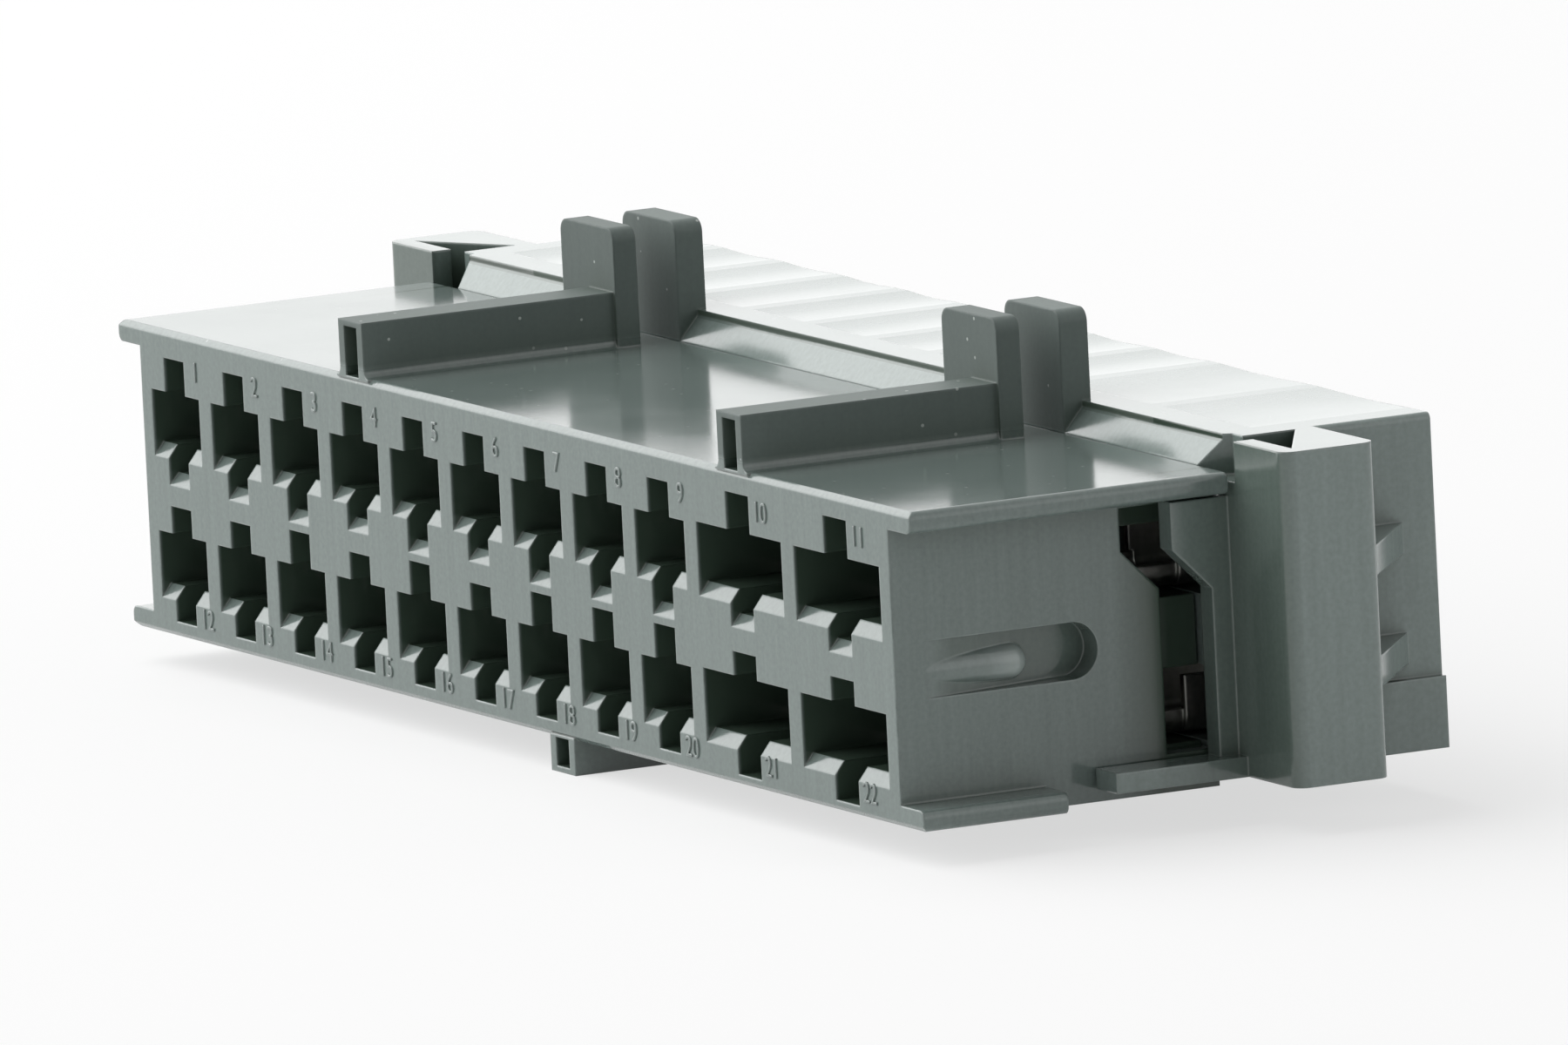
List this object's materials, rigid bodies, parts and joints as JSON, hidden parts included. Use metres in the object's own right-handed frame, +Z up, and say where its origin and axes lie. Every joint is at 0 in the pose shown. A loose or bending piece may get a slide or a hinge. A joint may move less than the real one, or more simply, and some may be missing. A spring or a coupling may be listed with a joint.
{
  "type": "wire harness connector",
  "caption": "Flat two-row receptacle connector: slotted contact housing with keyed ribs and side flanges, latched rear cover with side lugs, and blade terminals inside.",
  "frame": {"origin": "under the middle of the part's bounding box, on the bottom of the lower key rib", "axes": "+Z up; mating face looks along -Y, wires leave along +Y; +X runs along the rows to the wide cavities"},
  "size_m": [0.0722, 0.022, 0.0175],
  "materials": {
    "housing_plastic": "satin",
    "cover_plastic": "satin",
    "tinned_brass": "tin plated"
  },
  "bodies": {
    "root": {"contact_housing": "housing_plastic", "rear_cover": "cover_plastic", "terminal_01": "tinned_brass", "terminal_02": "tinned_brass", "terminal_03": "tinned_brass", "terminal_04": "tinned_brass", "terminal_05": "tinned_brass", "terminal_06": "tinned_brass", "terminal_07": "tinned_brass", "terminal_08": "tinned_brass", "terminal_09": "tinned_brass", "terminal_10": "tinned_brass", "terminal_11": "tinned_brass", "terminal_12": "tinned_brass", "terminal_13": "tinned_brass", "terminal_14": "tinned_brass", "terminal_15": "tinned_brass", "terminal_16": "tinned_brass", "terminal_17": "tinned_brass", "terminal_18": "tinned_brass", "terminal_19": "tinned_brass", "terminal_20": "tinned_brass", "terminal_21": "tinned_brass", "terminal_22": "tinned_brass"}
  },
  "joints": []
}
